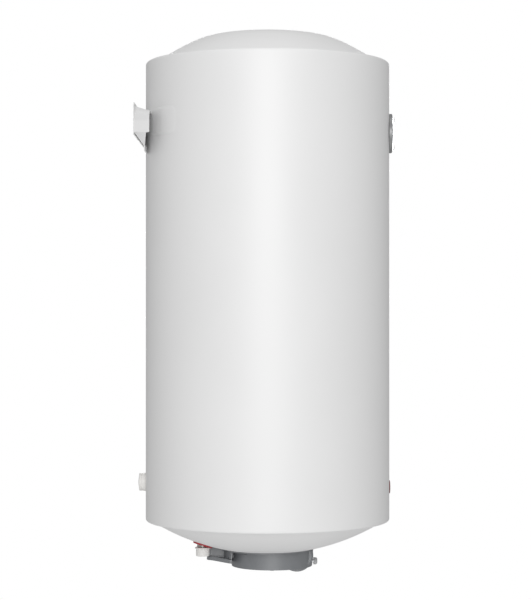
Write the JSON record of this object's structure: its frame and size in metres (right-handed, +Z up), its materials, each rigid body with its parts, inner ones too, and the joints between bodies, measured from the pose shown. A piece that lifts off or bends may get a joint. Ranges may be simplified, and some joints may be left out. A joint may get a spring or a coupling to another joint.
{
  "type": "tank water heater",
  "caption": "Upright round wall-hung electric storage water heater with dial thermometer, wall bracket, capped pipe ends and a moulded terminal cover below.",
  "frame": {"origin": "on the wall plane, midway between the two hook slots of the upper bracket", "axes": "+Z up, -Y is the front with the dial, the wall is the plane Y = 0, and +X is the cold-water side"},
  "size_m": [0.4449, 0.4693, 0.9812],
  "materials": {
    "white_enamel": "gloss",
    "foam": "porous",
    "tank_steel": "satin",
    "raw_steel": "rough",
    "zinc_steel": "satin",
    "pipe_steel": "satin",
    "white_plastic": "gloss",
    "dial_white": "matt",
    "bezel_grey": "satin",
    "clear_lens": "clear",
    "black_plastic": "matt",
    "pointer_red": "matt",
    "brass": "satin",
    "copper": "satin",
    "lamp_surround": "gloss",
    "lamp_red": "clear",
    "pale_plastic": "matt",
    "wire": "matt",
    "collar_blue": "matt",
    "collar_red": "matt",
    "gasket": "matt",
    "anode_metal": "dull",
    "cover_grey": "satin",
    "knob_grey": "satin"
  },
  "bodies": {
    "heater": {"jacket": "white_enamel", "top_cover": "white_enamel", "bottom_cover": "white_enamel", "foam_insulation": "foam", "tank_shell": "tank_steel", "tank_top_head": "tank_steel", "tank_bottom_head": "tank_steel", "flange_neck": "raw_steel", "bracket_bosses": "raw_steel", "bracket_strap": "white_enamel", "wall_bracket": "white_enamel", "bracket_bolts": "zinc_steel", "wall_spacer": "white_plastic", "spacer_screw": "zinc_steel", "gauge_body": "black_plastic", "gauge_bezel": "bezel_grey", "gauge_dial": "dial_white", "gauge_lens": "clear_lens", "gauge_movement": "brass", "gauge_capillary": "copper", "gauge_bulb": "copper", "bulb_pocket": "raw_steel", "lamp_bezel": "lamp_surround", "lamp_lens": "lamp_red", "lamp_body": "pale_plastic", "lamp_lead": "wire", "cold_pipe": "pipe_steel", "cold_diffuser": "pale_plastic", "hot_pipe": "pipe_steel", "cold_collar": "collar_blue", "hot_collar": "collar_red", "flange_gasket": "gasket", "flange_plate": "tank_steel", "flange_bolts": "zinc_steel", "heating_element": "copper", "element_terminals": "tank_steel", "thermowell": "tank_steel", "anode_rod": "anode_metal", "anode_stud": "tank_steel", "anode_nut": "zinc_steel", "thermostat_body": "black_plastic", "thermostat_bulb": "copper", "thermostat_capillary": "copper", "thermal_cutout": "black_plastic", "terminal_block": "pale_plastic", "terminal_screws": "zinc_steel", "internal_wires": "wire", "earth_stud": "brass", "terminal_cover": "cover_grey", "cover_posts": "tank_steel", "cover_screws": "zinc_steel", "cable_gland": "black_plastic", "cable_clamp": "pale_plastic"},
    "pointer": {"gauge_pointer": "pointer_red", "gauge_spindle": "brass"},
    "control_knob": {"thermostat_knob": "knob_grey", "thermostat_spindle": "zinc_steel"},
    "reset_button": {"reset_button": "pointer_red"},
    "cold_cap": {"cold_cap": "white_plastic"},
    "hot_cap": {"hot_cap": "white_plastic"}
  },
  "joints": [
    {"name": "pointer_swing", "type": "hinge", "parent": "heater", "child": "pointer", "pos_m": [0, -0.46, -0.0145], "axis": [0, 1, 0], "range_deg": [0, 240]},
    {"name": "knob_turn", "type": "hinge", "parent": "heater", "child": "control_knob", "pos_m": [0, -0.3235, -0.797], "axis": [0, 1, 0], "range_deg": [0, 270]},
    {"name": "reset_press", "type": "slide", "parent": "heater", "child": "reset_button", "axis": [0, 0, 1], "range_m": [0, 0.002], "stiffness_N_per_m": 250, "springref_m": -0.003},
    {"name": "cold_cap_pull", "type": "slide", "parent": "heater", "child": "cold_cap", "axis": [0, 0, -1], "range_m": [0, 0.03]},
    {"name": "hot_cap_pull", "type": "slide", "parent": "heater", "child": "hot_cap", "axis": [0, 0, -1], "range_m": [0, 0.03]}
  ]
}
